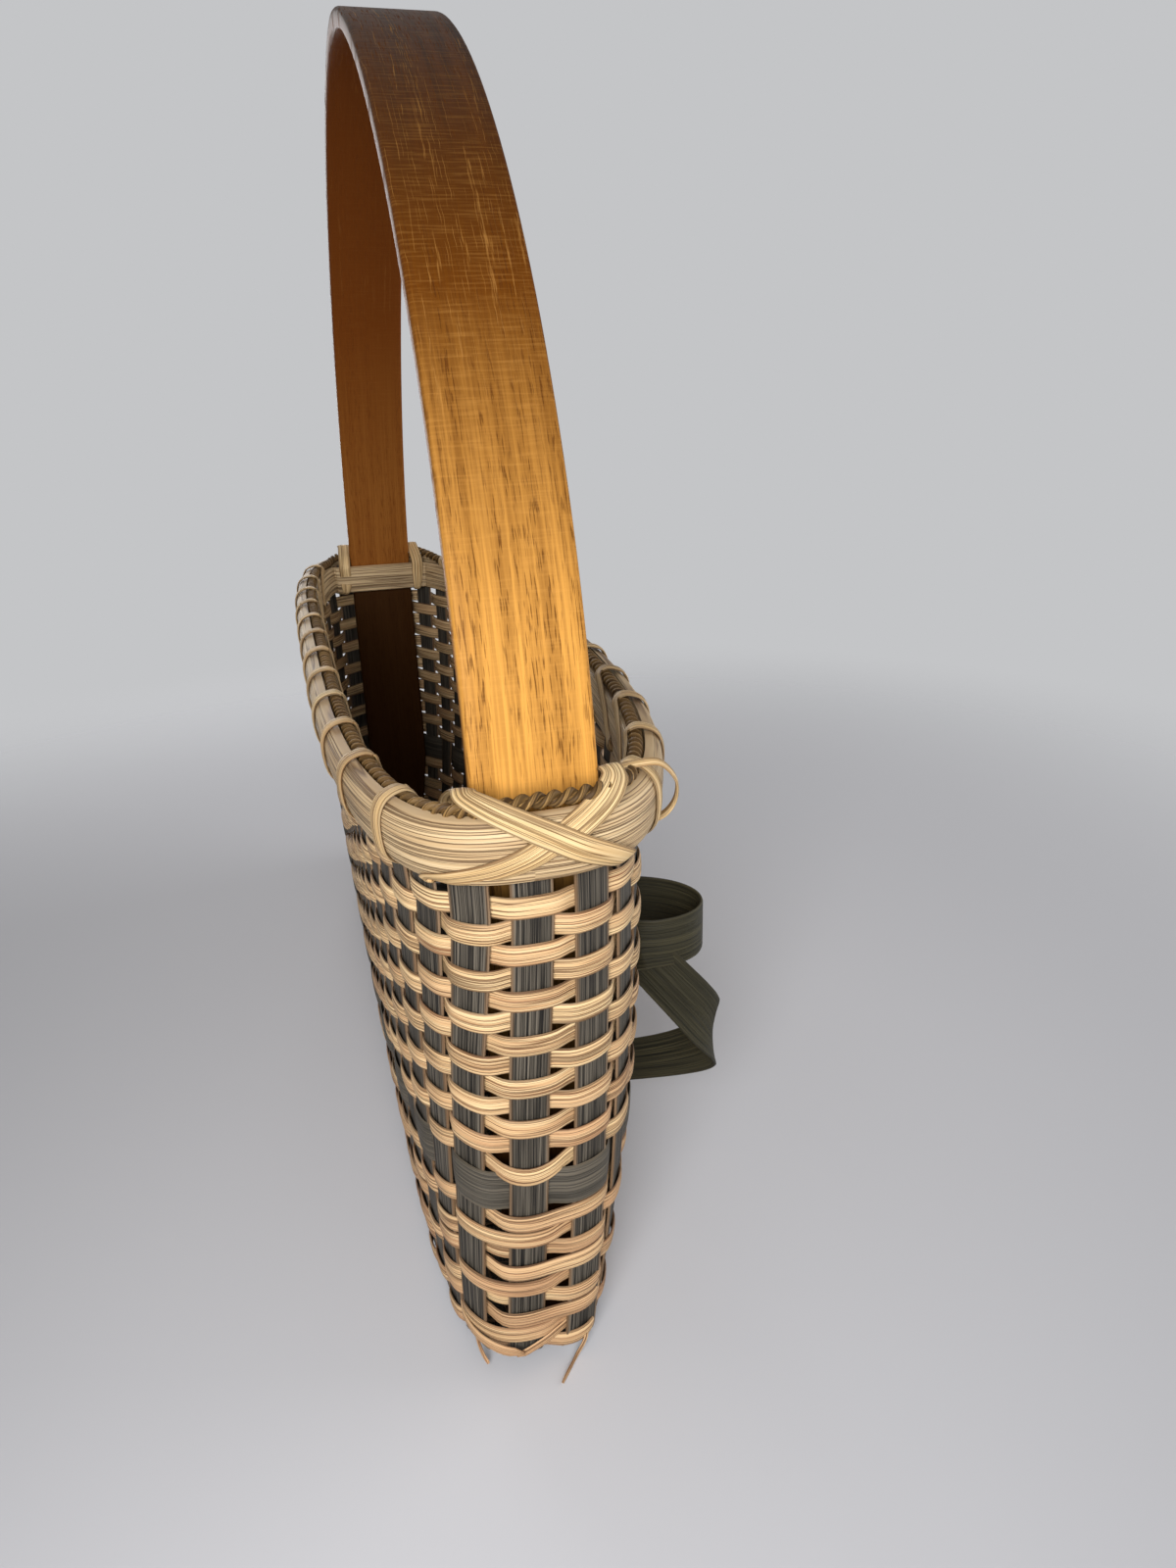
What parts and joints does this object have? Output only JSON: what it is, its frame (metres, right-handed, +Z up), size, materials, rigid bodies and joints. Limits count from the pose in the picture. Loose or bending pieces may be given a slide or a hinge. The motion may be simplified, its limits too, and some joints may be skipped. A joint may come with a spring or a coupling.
{
  "type": "door hanging basket",
  "caption": "Long, shallow oval splint basket to hang on a door: woven reed wall, lashed rims with a rope between them, a tall bent wooden handle and a dyed reed bow.",
  "frame": {"origin": "on the floor plane under the middle of the base", "axes": "+Z up, X along the door, +Y towards the door, so the bow is on the -Y side"},
  "size_m": [0.389, 0.1196, 0.3611],
  "materials": {
    "natural_reed": "satin",
    "rim_reed": "satin",
    "dyed_reed": "matte",
    "olive_reed": "matte",
    "seagrass": "matte",
    "oak": "gloss"
  },
  "bodies": {
    "root": {"handle": "oak", "stake_cross_1": "dyed_reed", "stake_cross_2": "dyed_reed", "stake_cross_3": "dyed_reed", "stake_cross_4": "dyed_reed", "stake_cross_5": "dyed_reed", "stake_cross_6": "dyed_reed", "stake_cross_7": "dyed_reed", "stake_cross_8": "dyed_reed", "stake_cross_9": "dyed_reed", "stake_cross_10": "dyed_reed", "stake_cross_11": "dyed_reed", "stake_cross_12": "dyed_reed", "stake_cross_13": "dyed_reed", "stake_cross_14": "dyed_reed", "stake_cross_15": "dyed_reed", "stake_cross_16": "dyed_reed", "stake_cross_17": "dyed_reed", "stake_cross_18": "dyed_reed", "stake_cross_19": "dyed_reed", "stake_cross_20": "dyed_reed", "stake_cross_21": "dyed_reed", "stake_cross_22": "dyed_reed", "stake_cross_23": "dyed_reed", "stake_cross_24": "dyed_reed", "stake_cross_25": "dyed_reed", "stake_length_back": "dyed_reed", "stake_length_front": "dyed_reed", "stake_length_middle": "dyed_reed", "weaver_upper_1": "natural_reed", "weaver_upper_2": "natural_reed", "weaver_upper_3": "natural_reed", "weaver_upper_4": "natural_reed", "weaver_upper_5": "natural_reed", "weaver_upper_6": "natural_reed", "weaver_upper_7": "natural_reed", "weaver_upper_8": "natural_reed", "weaver_upper_9": "natural_reed", "weaver_upper_10": "natural_reed", "weaver_upper_11": "natural_reed", "weaver_upper_12": "natural_reed", "weaver_upper_13": "natural_reed", "band": "olive_reed", "weaver_lower_1": "natural_reed", "weaver_lower_2": "natural_reed", "weaver_lower_3": "natural_reed", "weaver_lower_4": "natural_reed", "weaver_lower_5": "natural_reed", "weaver_lower_6": "natural_reed", "weaver_lower_7": "natural_reed", "weaver_lower_8": "natural_reed", "weaver_lower_9": "natural_reed", "rim_inner": "rim_reed", "rim_lashing_back": "rim_reed", "rim_lashing_front": "rim_reed", "rim_outer": "rim_reed", "rim_rope": "seagrass", "handle_tie_far": "rim_reed", "handle_tie_near": "rim_reed", "front_bow": "dyed_reed"}
  },
  "joints": []
}
